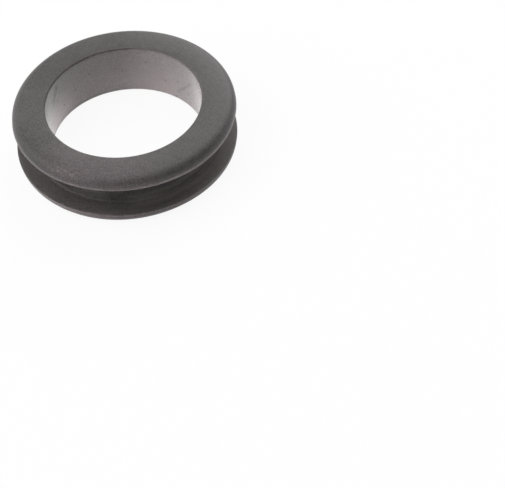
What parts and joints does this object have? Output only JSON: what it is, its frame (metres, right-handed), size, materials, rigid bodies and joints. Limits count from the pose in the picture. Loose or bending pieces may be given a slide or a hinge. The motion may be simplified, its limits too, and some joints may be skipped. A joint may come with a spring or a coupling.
{
  "type": "rubber grommet",
  "caption": "Moulded rubber ring with two round-shouldered flanges and a deep outer groove that seats in a panel hole, lining it for a cable or hose.",
  "frame": {"origin": "on the bore's axis, half way between the two flanges, which is the centre of the groove", "axes": "+Z along the bore; the part is the same turned about Z, and the same upside down"},
  "size_m": [0.0456, 0.0456, 0.012],
  "materials": {
    "moulded_rubber": "satin"
  },
  "bodies": {
    "root": {"grommet": "moulded_rubber"}
  },
  "joints": []
}
